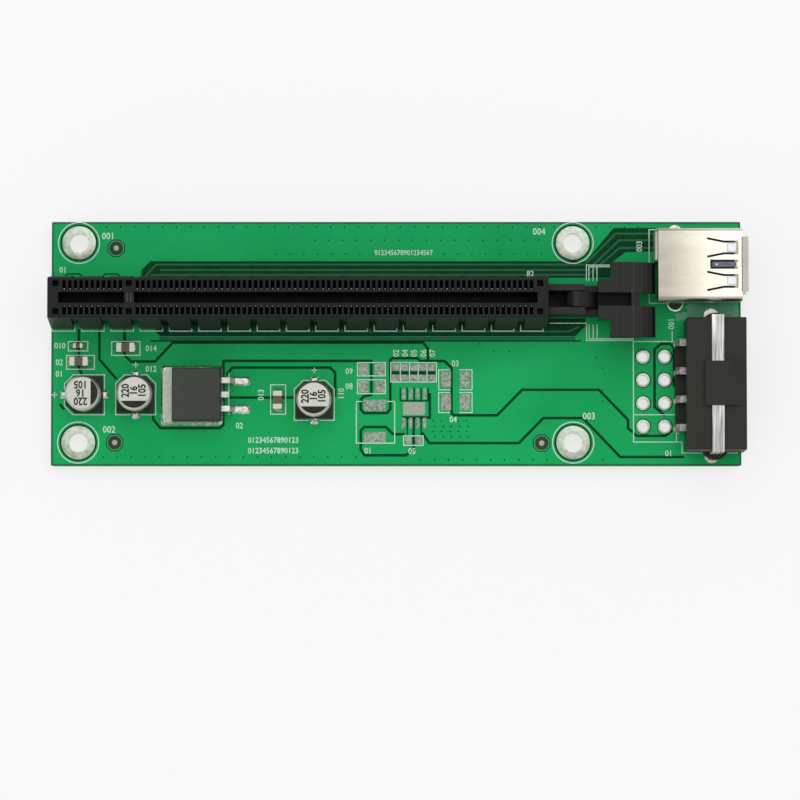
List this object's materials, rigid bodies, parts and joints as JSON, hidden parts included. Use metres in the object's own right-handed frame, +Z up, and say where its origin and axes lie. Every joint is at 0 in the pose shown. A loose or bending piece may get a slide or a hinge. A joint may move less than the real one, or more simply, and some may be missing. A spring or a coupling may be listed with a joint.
{
  "type": "pcie riser card",
  "caption": "Green riser board with a long keyed black edge-card slot and press latch, a serial-bus socket, a four-pin power inlet, a regulator and can capacitors.",
  "frame": {"origin": "centre of the four mounting holes, on the underside of the board", "axes": "+X along the slot towards the sockets, +Y across the board towards the serial-bus socket's edge, +Z up out of the card slot"},
  "size_m": [0.1249, 0.044, 0.0143],
  "materials": {
    "solder_mask": "glossy green solder mask",
    "slot_plastic": "moulded satin black",
    "contact_metal": "plated spring metal",
    "latch_plastic": "moulded satin black",
    "usb_nickel": "bright nickel sheet",
    "usb_plastic": "blue moulded plastic",
    "power_plastic": "moulded satin black",
    "tinned_metal": "bright tin",
    "mould_plastic": "matt black moulding",
    "can_aluminium": "satin aluminium",
    "can_foot_plastic": "black plastic foot",
    "chip_ceramic": "brown ceramic"
  },
  "bodies": {
    "board": {"circuit_board": "solder_mask", "slot_housing": "slot_plastic", "slot_wall_north": "slot_plastic", "slot_wall_south": "slot_plastic", "slot_contacts_north": "contact_metal", "slot_contacts_south": "contact_metal", "usb_shell": "usb_nickel", "usb_insulator": "usb_plastic", "usb_wide_contacts": "contact_metal", "usb_fine_contacts": "contact_metal", "power_housing": "power_plastic", "power_pins": "tinned_metal", "power_clip_north": "tinned_metal", "power_clip_south": "tinned_metal", "regulator_mould": "mould_plastic", "regulator_tab": "tinned_metal", "regulator_leads": "tinned_metal", "can_body_1": "can_aluminium", "can_base_1": "can_foot_plastic", "can_tabs_1": "tinned_metal", "can_body_2": "can_aluminium", "can_base_2": "can_foot_plastic", "can_tabs_2": "tinned_metal", "can_body_3": "can_aluminium", "can_base_3": "can_foot_plastic", "can_tabs_3": "tinned_metal", "chip_body_1": "chip_ceramic", "chip_ends_1": "tinned_metal", "chip_body_2": "chip_ceramic", "chip_ends_2": "tinned_metal", "chip_body_3": "chip_ceramic", "chip_ends_3": "tinned_metal", "chip_body_4": "chip_ceramic", "chip_ends_4": "tinned_metal"},
    "latch": {"slot_latch": "latch_plastic"}
  },
  "joints": [
    {"name": "latch_hinge", "type": "hinge", "parent": "board", "child": "latch", "pos_m": [0.04745, 0.0072, 0.0048], "axis": [0, 1, 0], "range_deg": [0, 15]}
  ]
}
